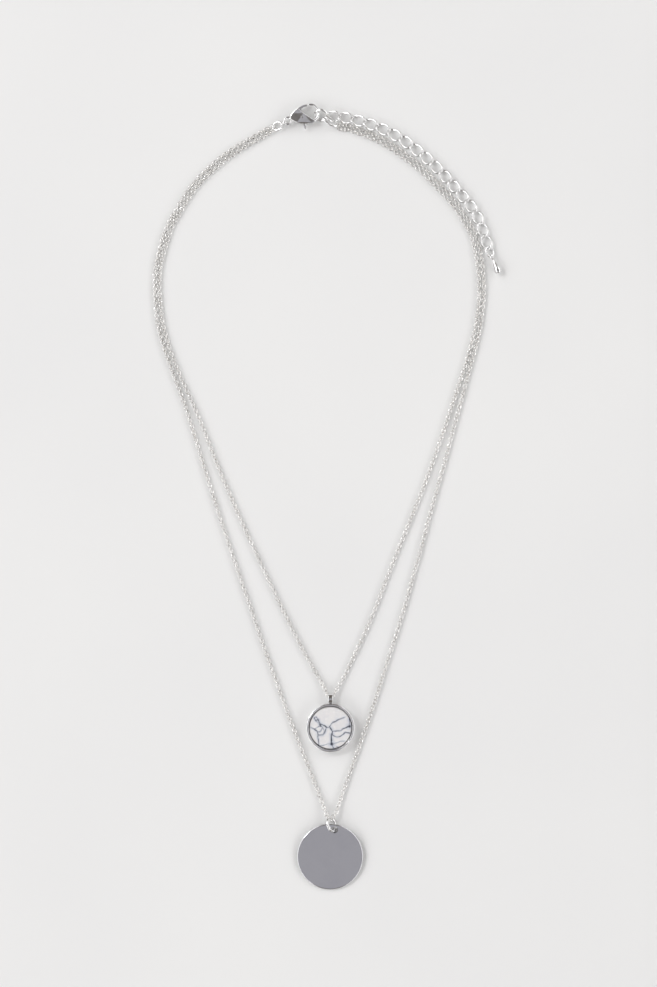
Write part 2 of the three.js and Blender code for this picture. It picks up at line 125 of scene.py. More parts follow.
# a profile of (radius, height) pairs turned about Z
def latheMesh(name, profile, segments):
    points, faces = [], []
    rows = []
    for radius, height in profile:
        if radius < 1e-9:
            rows.append([len(points)])
            points.append((0, 0, height))
            continue
        rows.append(list(range(len(points), len(points) + segments)))
        for i in range(segments):
            angle = 2 * math.pi * i / segments
            points.append((radius * math.cos(angle), radius * math.sin(angle), height))
    for low, high in zip(rows, rows[1:]):
        for i in range(segments):
            k = (i + 1) % segments
            ring = [low[i % len(low)], low[k % len(low)], high[k % len(high)], high[i % len(high)]]
            face = list(dict.fromkeys(ring))
            if len(face) > 2:
                faces.append(face)
    return facesOutwards(meshFrom(name, points, faces))


# a quarter round in a profile, from one angle to another about a centre
def roundIn(centre, radius, start, end, steps=6):
    corner = []
    for i in range(steps + 1):
        angle = math.radians(start + (end - start) * i / steps)
        corner.append((centre[0] + radius * math.cos(angle), centre[1] + radius * math.sin(angle)))
    return corner


def bentLine(start, control, end, steps=8):
    line = []
    for i in range(1, steps + 1):
        t = i / steps
        x = (1 - t) ** 2 * start[0] + 2 * t * (1 - t) * control[0] + t * t * end[0]
        y = (1 - t) ** 2 * start[1] + 2 * t * (1 - t) * control[1] + t * t * end[1]
        line.append((x, y))
    return line


# a round bar along points, its radius given at each, with round ends
def barMesh(name, points, radii, sides=20, endSteps=5):
    spine = [Vector(point) for point in points]
    start, end = (spine[0] - spine[1]).normalized(), (spine[-1] - spine[-2]).normalized()
    rings = []
    for i in range(endSteps):
        angle = math.pi / 2 * i / endSteps
        rings.append((spine[0] + start * radii[0] * math.cos(angle), radii[0] * math.sin(angle)))
    rings += list(zip(spine, radii))
    for i in range(endSteps - 1, -1, -1):
        angle = math.pi / 2 * i / endSteps
        rings.append((spine[-1] + end * radii[-1] * math.cos(angle), radii[-1] * math.sin(angle)))
    side = start.orthogonal().normalized()
    vertices, faces = [], []
    for i, (centre, radius) in enumerate(rings):
        ahead = rings[min(i + 1, len(rings) - 1)][0] - rings[max(i - 1, 0)][0]
        along = ahead.normalized()
        side = (side - along * side.dot(along)).normalized()
        across = along.cross(side)
        for j in range(sides):
            angle = 2 * math.pi * j / sides
            reach = max(radius, 1e-7)
            vertices.append(centre + side * reach * math.cos(angle) + across * reach * math.sin(angle))
    for i in range(len(rings) - 1):
        for j in range(sides):
            k = (j + 1) % sides
            faces.append([i * sides + j, i * sides + k, (i + 1) * sides + k, (i + 1) * sides + j])
    return facesOutwards(meshFrom(name, vertices, faces))


def addNode(tree, kind, inputs=None, **settings):
    node = tree.nodes.new(kind)
    for key, value in settings.items():
        setattr(node, key, value)
    for key, value in (inputs or {}).items():
        socket = node.inputs[key]
        if isinstance(value, bpy.types.NodeSocket):
            tree.links.new(value, socket)
        else:
            socket.default_value = value
    return node


def mathNode(tree, operation, first, second=0.0):
    return addNode(tree, "ShaderNodeMath", {0: first, 1: second}, operation=operation).outputs[0]


def newTree(name, sizes):
    tree = bpy.data.node_groups.new(name, "GeometryNodeTree")
    for label, kind, value in sizes:
        socket = tree.interface.new_socket(label, in_out="INPUT", socket_type=kind)
        if value is not None:
            socket.default_value = value
    tree.interface.new_socket("Geometry", in_out="OUTPUT", socket_type="NodeSocketGeometry")
    return tree, tree.nodes.new("NodeGroupInput"), tree.nodes.new("NodeGroupOutput")


def withTree(piece, tree, values):
    modifier = piece.modifiers.new("shape", "NODES")
    modifier.node_group = tree
    for item in tree.interface.items_tree:
        if item.item_type == "SOCKET" and item.in_out == "INPUT" and item.name in values:
            modifier[item.identifier] = values[item.name]
    return piece


def newMaterial(name):
    material = bpy.data.materials.new(name)
    material.use_nodes = True
    tree = material.node_tree
    shader = tree.nodes["Principled BSDF"]
    place = addNode(tree, "ShaderNodeTexCoord")
    return material, tree, shader, place.outputs["Object"]


def speckle(tree, place, size, detail=3.0, stretch=(1, 1, 1)):
    mapping = addNode(tree, "ShaderNodeMapping", {"Vector": place, "Scale": stretch})
    scaled = addNode(tree, "ShaderNodeTexNoise", {"Vector": mapping.outputs[0], "Scale": 1 / size,
                                                  "Detail": detail, "Roughness": 0.55})
    return scaled.outputs["Fac"]


def ranged(tree, value, low, high, fromLow=0.35, fromHigh=0.65):
    sizes = {"Value": value, "From Min": fromLow, "From Max": fromHigh, "To Min": low, "To Max": high}
    return addNode(tree, "ShaderNodeMapRange", sizes).outputs[0]


def blended(tree, factor, first, second, mode="MIX"):
    node = addNode(tree, "ShaderNodeMix", {0: factor, 6: first, 7: second}, data_type="RGBA", blend_type=mode)
    return node.outputs[2]


# polished plate: small waves left by the polishing wheel, fine scratches, faint tarnish
def silverMaterial(name, finish):
    material, tree, shader, place = newMaterial(name)
    shader.inputs["Metallic"].default_value = 1.0
    tarnish = speckle(tree, place, finish["tarnishSize"], 4.0)
    shade = blended(tree, ranged(tree, tarnish, 0.0, 1.0, 0.45, 0.75), finish["plate"], finish["tarnish"])
    if finish.get("toneName"):
        tone = addNode(tree, "ShaderNodeAttribute", attribute_name=finish["toneName"]).outputs["Fac"]
        shade = blended(tree, tone, finish["dull"], shade)
    tree.links.new(shade, shader.inputs["Base Color"])
    wear = speckle(tree, place, finish["wearSize"], 5.0)
    low, high = finish["roughness"]
    tree.links.new(ranged(tree, wear, low, high), shader.inputs["Roughness"])
    scratchesX = speckle(tree, place, finish["scratchSize"], 2.0, (1, 22, 1))
    scratchesY = speckle(tree, place, finish["scratchSize"], 2.0, (18, 1, 3))
    waves = speckle(tree, place, finish["waveSize"], 1.0)
    lines = mathNode(tree, "ADD", scratchesX, scratchesY)
    surface = mathNode(tree, "ADD", mathNode(tree, "MULTIPLY", lines, finish["scratchShare"]), waves)
    bump = addNode(tree, "ShaderNodeBump", {"Height": surface, "Distance": finish["relief"], "Strength": 1.0})
    tree.links.new(bump.outputs[0], shader.inputs["Normal"])
    return material


castSilver = {"plate": (0.93, 0.93, 0.935, 1), "tarnish": (0.84, 0.83, 0.82, 1), "tarnishSize": 2.2 * mm,
              "roughness": (0.07, 0.17), "wearSize": 0.8 * mm, "scratchSize": 0.5 * mm,
              "scratchShare": 0.12, "waveSize": 1.6 * mm, "relief": 0.010 * mm}
wireSilver = {"plate": (0.94, 0.94, 0.94, 1), "tarnish": (0.80, 0.79, 0.78, 1), "tarnishSize": 1.4 * mm,
              "roughness": (0.10, 0.24), "wearSize": 0.5 * mm, "scratchSize": 0.3 * mm,
              "scratchShare": 0.15, "waveSize": 0.7 * mm, "relief": 0.012 * mm}
chainSilver = {"plate": (0.96, 0.95, 0.935, 1), "tarnish": (0.84, 0.82, 0.79, 1), "tarnishSize": 3.0 * mm,
               "roughness": (0.14, 0.30), "wearSize": 0.6 * mm, "scratchSize": 0.25 * mm,
               "scratchShare": 0.15, "waveSize": 0.5 * mm, "relief": 0.010 * mm,
               "toneName": "linkTone", "dull": (0.70, 0.68, 0.65, 1)}
# the disc's plate is darker than the silver: partly a steel tone, partly a painted reflection standing in for
# the grey panel overhead that its flat face mirrors
discSteelWithPaintedGrey = {"plate": (0.78, 0.78, 0.80, 1), "tarnish": (0.75, 0.75, 0.775, 1), "tarnishSize": 6.0 * mm,
             "roughness": (0.045, 0.085), "wearSize": 3.0 * mm, "scratchSize": 1.2 * mm,
             "scratchShare": 0.08, "waveSize": 9.0 * mm, "relief": 0.0035 * mm}
springSteel = {"plate": (0.62, 0.62, 0.63, 1), "tarnish": (0.45, 0.43, 0.41, 1), "tarnishSize": 0.8 * mm,
               "roughness": (0.22, 0.38), "wearSize": 0.3 * mm, "scratchSize": 0.2 * mm,
               "scratchShare": 0.3, "waveSize": 0.5 * mm, "relief": 0.010 * mm}
castFinish = silverMaterial("polishedCastSilver", castSilver)
wireFinish = silverMaterial("bentWireSilver", wireSilver)
chainFinish = silverMaterial("chainSilver", chainSilver)
discFinishWithPaintedGrey = silverMaterial("mirrorDiscWithPaintedGrey", discSteelWithPaintedGrey)
steelFinish = silverMaterial("rivetSteel", springSteel)

howlite = {"white": (0.83, 0.81, 0.805, 1), "cool": (0.50, 0.54, 0.63, 1), "vein": (0.02, 0.025, 0.045, 1),
           "cloud": (0.76, 0.755, 0.77, 1), "cloudSize": 2.4 * mm, "grainSize": 0.3 * mm,
           "polishSize": 0.9 * mm, "pitSize": 0.35 * mm, "relief": 0.012 * mm, "dryness": 0.2,
           "scatter": 1.2 * mm}


def howliteMaterial():
    material, tree, shader, place = newMaterial("veinedHowlite")
    mist = addNode(tree, "ShaderNodeAttribute", attribute_name="veinMist").outputs["Fac"]
    vein = addNode(tree, "ShaderNodeAttribute", attribute_name="veinLine").outputs["Fac"]
    clouds = ranged(tree, speckle(tree, place, howlite["cloudSize"], 5.0), 0.0, 1.0, 0.4, 0.72)
    ground = blended(tree, clouds, howlite["white"], howlite["cloud"])
    ground = blended(tree, mist, ground, howlite["cool"])
    grain = ranged(tree, speckle(tree, place, howlite["grainSize"], 4.0), 0.55, 1.3, 0.38, 0.58)
    broken = mathNode(tree, "MULTIPLY", vein, grain)
    broken.node.use_clamp = True
    tree.links.new(blended(tree, broken, ground, howlite["vein"]), shader.inputs["Base Color"])
    polish = ranged(tree, speckle(tree, place, howlite["polishSize"]), 0.16, 0.3)
    dry = mathNode(tree, "MULTIPLY", vein, howlite["dryness"])
    tree.links.new(mathNode(tree, "ADD", polish, dry), shader.inputs["Roughness"])
    height = mathNode(tree, "SUBTRACT", speckle(tree, place, howlite["pitSize"]), vein)
    bump = addNode(tree, "ShaderNodeBump", {"Height": height, "Distance": howlite["relief"], "Strength": 0.5})
    tree.links.new(bump.outputs[0], shader.inputs["Normal"])
    shader.inputs["Coat Weight"].default_value = 0.35
    shader.inputs["Coat Roughness"].default_value = 0.06
    shader.inputs["Subsurface Weight"].default_value = 0.08
    shader.inputs["Subsurface Radius"].default_value = [howlite["scatter"]] * 3
    return material


stoneFinish = howliteMaterial()
print("finishes made")

view = {"height": 1.6, "frameHeight": 0.2991, "middle": (0.00035, 0.0010), "sensor": 24.0}


def addCamera():
    data = bpy.data.cameras.new("overhead")
    data.sensor_fit = "VERTICAL"
    data.sensor_height = view["sensor"]
    data.lens = view["sensor"] * view["height"] / view["frameHeight"]
    data.clip_start = 0.02
    data.clip_end = 20
    camera = bpy.data.objects.new("overhead", data)
    camera.location = (*view["middle"], view["height"])
    scene.collection.objects.link(camera)
    scene.camera = camera


addCamera()

ringTreeSizes = [
    ("Length", "NodeSocketFloat", 0.0055), ("Width", "NodeSocketFloat", 0.0036),
    ("Wire", "NodeSocketFloat", 0.0007), ("Twist", "NodeSocketFloat", 0.0),
    ("Seam", "NodeSocketFloat", 0.0), ("Points", "NodeSocketInt", 96), ("Sides", "NodeSocketInt", 20),
    ("Finish", "NodeSocketMaterial", None),
]


# an oval of round wire, its two ends turned opposite ways by the twist, with a fine seam where it closes
def ringTree():
    tree, given, result = newTree("wireRing", ringTreeSizes)
    loop = addNode(tree, "GeometryNodeCurvePrimitiveCircle",
                   {"Resolution": given.outputs["Points"], "Radius": 1.0})
    spot = addNode(tree, "ShaderNodeSeparateXYZ", {0: addNode(tree, "GeometryNodeInputPosition").outputs[0]})
    halfLength = mathNode(tree, "SUBTRACT", given.outputs["Length"], given.outputs["Wire"])
    halfWidth = mathNode(tree, "SUBTRACT", given.outputs["Width"], given.outputs["Wire"])
    along = mathNode(tree, "MULTIPLY", mathNode(tree, "MULTIPLY", halfLength, 0.5), spot.outputs[0])
    side = mathNode(tree, "MULTIPLY", mathNode(tree, "MULTIPLY", halfWidth, 0.5), spot.outputs[1])
    turn = mathNode(tree, "MULTIPLY", given.outputs["Twist"], spot.outputs[0])
    across = mathNode(tree, "MULTIPLY", side, mathNode(tree, "COSINE", turn))
    height = mathNode(tree, "MULTIPLY", side, mathNode(tree, "SINE", turn))
    oval = addNode(tree, "ShaderNodeCombineXYZ", {0: along, 1: across, 2: height})
    bent = addNode(tree, "GeometryNodeSetPosition", {"Geometry": loop.outputs[0], "Position": oval.outputs[0]})
    spline = addNode(tree, "GeometryNodeSplineParameter")
    away = mathNode(tree, "ABSOLUTE", mathNode(tree, "SUBTRACT", spline.outputs["Factor"], 0.5))
    pinch = addNode(tree, "ShaderNodeMapRange", {"Value": away, "From Min": 0.0, "From Max": 0.009,
                                                 "To Min": 1.0, "To Max": 0.0})
    cut = mathNode(tree, "MULTIPLY", pinch.outputs[0], given.outputs["Seam"])
    slim = mathNode(tree, "SUBTRACT", 1.0, cut)
    sized = addNode(tree, "GeometryNodeSetCurveRadius", {"Curve": bent.outputs[0], "Radius": slim})
    section = addNode(tree, "GeometryNodeCurvePrimitiveCircle", {"Resolution": given.outputs["Sides"]})
    tree.links.new(mathNode(tree, "MULTIPLY", given.outputs["Wire"], 0.5), section.inputs["Radius"])
    wire = addNode(tree, "GeometryNodeCurveToMesh",
                   {"Curve": sized.outputs[0], "Profile Curve": section.outputs[0]})
    if "Scale" in wire.inputs:
        radius = addNode(tree, "GeometryNodeInputRadius")
        tree.links.new(radius.outputs[0], wire.inputs["Scale"])
    smooth = addNode(tree, "GeometryNodeSetShadeSmooth", {"Geometry": wire.outputs[0]})
    real = addNode(tree, "GeometryNodeRealizeInstances", {"Geometry": smooth.outputs[0]})
    coated = addNode(tree, "GeometryNodeSetMaterial", {"Geometry": real.outputs[0],
                                                       "Material": given.outputs["Finish"]})
    tree.links.new(coated.outputs[0], result.inputs[0])
    return tree


wireRing = ringTree()


def ringMesh(name, length, width, wire, twist=0.0, seam=0.3, points=96, sides=20):
    start = pieceFromMesh(name, bpy.data.meshes.new(name))
    sizes = {"Length": length, "Width": width, "Wire": wire, "Twist": math.radians(twist),
             "Seam": seam, "Points": points, "Sides": sides, "Finish": wireFinish}
    mesh = settled(withTree(start, wireRing, sizes))
    mesh.name = name
    return facesOutwards(mesh)


def addRing(name, body, place, **sizes):
    mesh = ringMesh(name, **sizes)
    mesh.transform(place)
    return hand(pieceFromMesh(name + "_wire", mesh), body, wireFinish, name)


chain = {"pitch": 1.036 * mm, "length": 1.75 * mm, "width": 1.36 * mm, "wire": 0.27 * mm, "sway": 0.34,
         "swaySize": 7.0 * mm, "points": 12, "sides": 5, "lying": 0.7}

# the routes in millimetres as the frame's tubes lie, with a height where they leave the table;
# each is carried on through its ring or pendant at both ends
shortLeftRoute = [
    (-17.35, 110.3, 0.8), (-18.9, 109.2), (-21.7, 107.6), (-24.7, 106), (-27.8, 104), (-30.8, 102),
    (-33.7, 99.5), (-36.7, 96.9), (-39.7, 93.7), (-42.6, 89.6), (-45.4, 84.9), (-47.2, 81.7),
    (-48.7, 77.4), (-50, 72.8), (-50.9, 68.4), (-51.1, 63.9), (-50.9, 59.5), (-50, 52), (-47.9, 44.5),
    (-44.9, 36.6), (-41.5, 29.1), (-38.2, 21.5), (-35.3, 13.9), (-32.3, 6.4), (-29, -1.2),
    (-25.7, -8.8), (-22.2, -16.4), (-18.7, -23.9), (-15.1, -31.5), (-11.4, -39.1), (-7.5, -46.7),
    (-3.3, -54.2), (-0.7, -58.9, 1.2),
]
shortRightRoute = [
    (2.4, -59, 1.2), (5.1, -54.2), (8.7, -46.7), (12.2, -39.1), (15.3, -31.5), (18.2, -23.9),
    (21.2, -16.4), (24.3, -8.8), (27.4, -1.2), (30.3, 6.4), (33, 13.9), (35.6, 21.5), (38.1, 29.1),
    (40.6, 36.7), (42.9, 44.2), (44.8, 51.8), (45.7, 59.4), (45.7, 63.9), (45.5, 68.5), (44.7, 73.2),
    (43.7, 77.8), (41.8, 81.8), (39.4, 85.7), (37, 88.9), (34.6, 91.6), (32.2, 94), (29.8, 96.6),
    (27.4, 98.9), (25, 100.9), (22.5, 102.7), (20.2, 104.4), (17.8, 105.9), (15.5, 107.3), (13, 108.3),
    (10.6, 109.3), (8.3, 110.2), (5.9, 111), (3.8, 111.1, 0.8),
]
longLeftRoute = [
    (-17.9, 111.35, 0.8), (-19.6, 110.6), (-22.4, 108.9), (-25.4, 107.2), (-28.6, 105.2),
    (-31.7, 103.1), (-34.7, 100.6), (-37.7, 97.9), (-40.8, 94.6), (-43.9, 90.3), (-46.6, 85.6),
    (-48.5, 82.2), (-50.1, 77.8), (-51.4, 73.1), (-52.3, 68.5), (-52.5, 63.9), (-52.3, 59.3),
    (-51.5, 51.7), (-49.4, 44), (-46.7, 36.6), (-43.9, 29.1), (-41.4, 21.5), (-39.1, 13.9),
    (-36.8, 6.4), (-34.4, -1.2), (-32, -8.8), (-29.4, -16.4), (-26.9, -23.9), (-24.3, -31.5),
    (-21.7, -39.1), (-19.1, -46.7), (-16.4, -54.2), (-12.6, -64.8), (-9.1, -74), (-5.6, -83),
    (-2.1, -92.1, 0.9), (-0.6, -96, 1.6),
]
longRightRoute = [
    (2.4, -96.2, 1.6), (3.7, -92.1, 0.9), (6.9, -83), (10.1, -74), (13.3, -64.8), (16.7, -54.2),
    (21.5, -39.1), (23.8, -31.5), (25.9, -23.9), (28, -16.4), (30, -8.8), (32.1, -1.2), (36.3, 13.9),
    (38.3, 21.5), (40.4, 29.1), (42.4, 36.7), (44.4, 44), (46.2, 51.7), (47.1, 59.4), (47.2, 64),
    (46.9, 68.7), (46.2, 73.5), (45, 78.3), (43.1, 82.5), (40.5, 86.6), (38.1, 89.8), (35.6, 92.6),
    (33.2, 95.1), (30.8, 97.6), (28.3, 100), (25.9, 102), (23.4, 103.8), (21, 105.6), (18.6, 107.1),
    (16.1, 108.6), (13.6, 109.6), (11.1, 110.6), (8.7, 111.5), (6.3, 112.2), (4.3, 112.5, 0.8),
]
throughLeftRing = {"short": (-16.44, 110.87, 0.95), "long": (-16.91, 111.79, 0.95)}
throughRightRing = {"short": (2.85, 111.95, 0.95), "long": (3.1, 112.45, 1.05)}
throughBail = [(-0.1, -60.2, 1.55), (0.75, -60.9, 1.6)]
pastBail = (1.6, -60.3, 1.55)
throughDiscRing = [(-0.3, -97.1, 1.95), (0.58, -97.9, 2.1)]
pastDiscRing = (1.5, -97.1, 1.9)


# a smooth curve through the points, close enough together to bend with the chain
def smoothLine(points, step=0.0008):
    line = []
    ends = [points[0] * 2 - points[1]] + points + [points[-1] * 2 - points[-2]]
    for before, start, end, after in zip(ends, ends[1:], ends[2:], ends[3:]):
        steps = max(2, round((end - start).length / step))
        for i in range(steps):
            t = i / steps
            pull = (end - before) * 0.5
            push = (after - start) * 0.5
            line.append(start * (2 * t ** 3 - 3 * t ** 2 + 1) + pull * (t ** 3 - 2 * t ** 2 + t)
                        + end * (3 * t ** 2 - 2 * t ** 3) + push * (t ** 3 - t ** 2))
    line.append(points[-1])
    return line


chainTreeSizes = [
    ("Curve", "NodeSocketGeometry", None), ("Pitch", "NodeSocketFloat", 0.001),
    ("Link Length", "NodeSocketFloat", 0.0017), ("Link Width", "NodeSocketFloat", 0.0014),
    ("Link Wire", "NodeSocketFloat", 0.00035), ("Link Points", "NodeSocketInt", 12),
    ("Link Sides", "NodeSocketInt", 5), ("Sway", "NodeSocketFloat", 0.8),
    ("Sway Size", "NodeSocketFloat", 0.009), ("Seed", "NodeSocketInt", 1),
    ("Finish", "NodeSocketMaterial", None),
]


# oval links set along a curve, each a quarter turn on from the last, the whole chain slowly rolling
def chainTree():
    tree, given, result = newTree("cableChain", chainTreeSizes)
    link = addNode(tree, "GeometryNodeGroup", node_tree=wireRing)
    for mine, theirs in [("Link Length", "Length"), ("Link Width", "Width"), ("Link Wire", "Wire"),
                         ("Link Points", "Points"), ("Link Sides", "Sides"), ("Finish", "Finish")]:
        tree.links.new(given.outputs[mine], link.inputs[theirs])
    spots = addNode(tree, "GeometryNodeCurveToPoints", {"Curve": given.outputs["Curve"],
                                                        "Length": given.outputs["Pitch"]}, mode="LENGTH")
    along = addNode(tree, "FunctionNodeAlignRotationToVector", {"Vector": spots.outputs["Tangent"]}, axis="X")
    index = addNode(tree, "GeometryNodeInputIndex").outputs[0]
    quarter = mathNode(tree, "MULTIPLY", mathNode(tree, "MODULO", index, 2.0), math.pi / 2)
    fineness = mathNode(tree, "DIVIDE", 1.0, given.outputs["Sway Size"])
    drift = addNode(tree, "ShaderNodeTexNoise", {"W": given.outputs["Seed"], "Scale": fineness, "Detail": 1.0},
                    noise_dimensions="4D")
    rolling = mathNode(tree, "MULTIPLY", mathNode(tree, "SUBTRACT", drift.outputs["Fac"], 0.5),
                       mathNode(tree, "MULTIPLY", given.outputs["Sway"], 5.0))
    jitter = addNode(tree, "FunctionNodeRandomValue", {"Min": -0.16, "Max": 0.16, "Seed": given.outputs["Seed"]},
                     data_type="FLOAT")
    roll = mathNode(tree, "ADD", mathNode(tree, "ADD", quarter, rolling), jitter.outputs[1])
    rolled = addNode(tree, "FunctionNodeAxisAngleToRotation", {"Axis": (1, 0, 0), "Angle": roll})
    turned = addNode(tree, "FunctionNodeRotateRotation", {0: along.outputs[0], 1: rolled.outputs[0]},
                     rotation_space="LOCAL")
    links = addNode(tree, "GeometryNodeInstanceOnPoints", {"Points": spots.outputs["Points"],
                                                           "Instance": link.outputs[0],
                                                           "Rotation": turned.outputs[0]})
    tone = addNode(tree, "FunctionNodeRandomValue", {"Min": 0.55, "Max": 1.0, "Seed": given.outputs["Seed"]},
                   data_type="FLOAT")
    toned = addNode(tree, "GeometryNodeStoreNamedAttribute", {"Geometry": links.outputs[0], "Name": "linkTone",
                                                              "Value": tone.outputs[1]},
                    data_type="FLOAT", domain="INSTANCE")
    real = addNode(tree, "GeometryNodeRealizeInstances", {"Geometry": toned.outputs[0]})
    coated = addNode(tree, "GeometryNodeSetMaterial", {"Geometry": real.outputs[0],
                                                       "Material": given.outputs["Finish"]})
    tree.links.new(coated.outputs[0], result.inputs[0])
    return tree


cableChain = chainTree()


def addChain(name, route, seed):
    points = [Vector((x, y, *(height or (chain["lying"],)))) * mm + middleOffset for x, y, *height in route]
    line = smoothLine(points)
    run = sum((b - a).length for a, b in zip(line, line[1:]))
    count = round(run / chain["pitch"])
    data = bpy.data.curves.new(name, "CURVE")
    data.dimensions = "3D"
    spline = data.splines.new("POLY")
    spline.points.add(len(line) - 1)
    for point, place in zip(spline.points, line):
        point.co = (*place, 1)
    start = pieceFromMesh(name, data)
    # a little short of the even share, so the last link isn't lost to rounding
    sizes = {"Pitch": 0.9999 * run / count, "Link Length": chain["length"], "Link Width": chain["width"],
             "Link Wire": chain["wire"], "Link Points": chain["points"], "Link Sides": chain["sides"],
             "Sway": chain["sway"], "Sway Size": chain["swaySize"], "Seed": seed, "Finish": chainFinish}
    mesh = facesOutwards(settled(withTree(start, cableChain, sizes)))
    mesh.name = name + "_links"
    mesh.shade_smooth()
    piece = hand(pieceFromMesh(mesh.name, mesh), "chains", chainFinish, name)
    print(name, round(run / mm), "mm,", count + 1, "links")


addChain("short_chain_left", [throughLeftRing["short"]] + shortLeftRoute + throughBail, 1)
addChain("short_chain_right", [pastBail] + shortRightRoute + [throughRightRing["short"]], 2)
addChain("long_chain_left", [throughLeftRing["long"]] + longLeftRoute + throughDiscRing, 3)
addChain("long_chain_right", [pastDiscRing] + longRightRoute + [throughRightRing["long"]], 4)
print("chains laid")

# each ring's body, length, width and wire, then its heading, slope and roll as it lies
endRings = {"left_end_ring": ("left_ring", (3.4, 2.9, 0.55), (206.6, -14, 8)),
            "clasp_ring": ("eye_ring", (3.0, 2.4, 0.5), (206.6, -8, 78)),
            "hook_ring": ("hook_link", (4.62, 4.62, 0.7), (-16.5, -1.2, 42.5)),
            "right_end_ring": ("right_ring", (5.52, 3.12, 0.7), (-28.9, -2, -39.3))}


def addEndRings():
    for name, (body, (length, width, wire), lie) in endRings.items():
        addRing(name, body, placed(middleOf(name), *lie), length=length * mm, width=width * mm, wire=wire * mm)


extender = {"length": 5.2 * mm, "width": 3.6 * mm, "wire": 0.55 * mm, "twist": 45, "firstRoll": -8,
            "headings": [-1, -9, -14, -19, -23, -29, -35, -37.5, -40.5, -45, -47, -49.5, -48.5, -52, -63,
                         -71.5, -73],
            "slopes": [-9.3, -5.5], "tailHeading": -69, "tailSlope": 2.5, "tailRoll": -22.4,
            "ring": {"length": 3.6 * mm, "width": 3.0 * mm, "wire": 0.5 * mm},
            "eye": 0.85 * mm, "eyeWire": 0.5 * mm, "drop": 5.0 * mm, "dropRadius": 1.15 * mm,
            "dropNeck": 0.28 * mm, "dropSink": 0.1 * mm, "dropSlack": 0.72 * mm, "dropLift": 0.02 * mm,
            "dropLie": (4, 1.6, 70)}


def addExtender():
    for i, turn in enumerate(extender["headings"]):
        name = f"extender_link_{i + 1:02d}"
        slope = extender["slopes"][i] if i < len(extender["slopes"]) else 0
        roll = extender["firstRoll"] if i == 0 else 0
        addRing(name, f"link_{i + 1:02d}", placed(middleOf(name), turn, slope, roll),
                length=extender["length"], width=extender["width"], wire=extender["wire"],
                twist=extender["twist"])
    lie = placed(middleOf("extender_end_ring"), extender["tailHeading"], extender["tailSlope"],
                 extender["tailRoll"])
    addRing("extender_end_ring", "tail_ring", lie, **extender["ring"])


def addDrop():
    eye = extender["eye"]
    eyeWidth = 2 * eye + extender["eyeWire"]
    loop = ringMesh("dropEye", eyeWidth, eyeWidth, extender["eyeWire"], seam=0, points=64, sides=16)
    reach = extender["drop"] - extender["dropRadius"]
    profile = [(0, 0), (extender["dropNeck"], 0)]
    radius, neck, rows = extender["dropRadius"], extender["dropNeck"], 24
    for i in range(1, rows + 1):
        t = i / rows
        profile.append((neck + (radius - neck) * math.sin(math.pi / 2 * t) ** 2, t * reach))
    profile += roundIn((0, reach), radius, 0, 90, 16)[1:-1] + [(0, extender["drop"])]
    bulb = latheMesh("dropBulb", profile, 48)
    bulb.transform(Matrix.Translation((eye - extender["dropSink"], 0, 0)) @ Matrix.Rotation(math.pi / 2, 4, "Y"))
    mesh = joined("drop_charm_cast", [loop, bulb])
    turn = extender["tailHeading"]
    ring = extender["ring"]
    away = (ring["length"] - ring["wire"]) / 2 + eye - extender["dropSlack"]
    centre = middleOf("extender_end_ring") + heading(turn) * away
    centre.z = eye + extender["eyeWire"] / 2 + extender["dropLift"]
    swing, slope, roll = extender["dropLie"]
    mesh.transform(placed(centre, turn + swing, slope, roll))
    mesh.shade_smooth()
    hand(pieceFromMesh("drop_charm_cast", mesh), "drop", castFinish, "drop_charm")


addEndRings()
addExtender()
addDrop()
print("rings and extender made")

# the clasp is drawn in millimetres about the middle of its opening, lying flat
clasp = {"thickness": 3.2, "opening": 2.1, "flat": 1.25, "flatHeading": -32.4, "edge": 0.55,
         "arm": 0.45, "armLean": 0.4, "armTip": 0.36, "armStart": -80, "tipAngle": 100,
         "eyeReach": 6.85, "eyeDrop": -2.4, "eye": 1.05, "eyeWire": 0.65, "neck": -6.1, "depth": -3.45,
         "thinnest": 0.72, "swellStart": 1.15, "slot": (-4.75, -1.15), "slotReach": 4.5, "slotGap": 0.12,
         "pin": (-2.55, -1.35), "pinRadius": 0.4, "pinCrown": 0.12, "pinRoom": 0.05,
         "lever": 1.0, "leverVoxel": 0.045, "leverSmoothing": 6, "voxel": 0.075, "smoothing": 14}
claspPlace = Matrix.Translation(Vector((-5.3, 116.0, 1.6)) * mm + middleOffset) @ Matrix.Scale(mm, 4)


def prism(name, outline, low, high):
    count = len(outline)
    points = [(x, y, low) for x, y in outline] + [(x, y, high) for x, y in outline]
    faces = [[i, (i + 1) % count, count + (i + 1) % count, count + i] for i in range(count)]
    faces += [list(range(count)), list(range(count, 2 * count))]
    return facesOutwards(meshFrom(name, points, faces, smooth=False))


def cutBy(mesh, tool):
    piece, cutter = pieceFromMesh("cut", mesh), pieceFromMesh("cutter", tool)
    modifier = piece.modifiers.new("cut", "BOOLEAN")
    modifier.object = cutter
    modifier.operation = "DIFFERENCE"
    modifier.solver = "EXACT"
    result = settled(piece)
    bpy.data.objects.remove(cutter)
    return result


# softened like a casting: the parts run into each other and every edge is rounded
def asCast(mesh, voxel, smoothing):
    piece = pieceFromMesh("casting", mesh)
    remesh = piece.modifiers.new("cast", "REMESH")
    remesh.mode = "VOXEL"
    remesh.voxel_size = voxel
    remesh.use_smooth_shade = True
    smooth = piece.modifiers.new("polish", "SMOOTH")
    smooth.factor = 0.5
    smooth.iterations = smoothing
    return settled(piece)


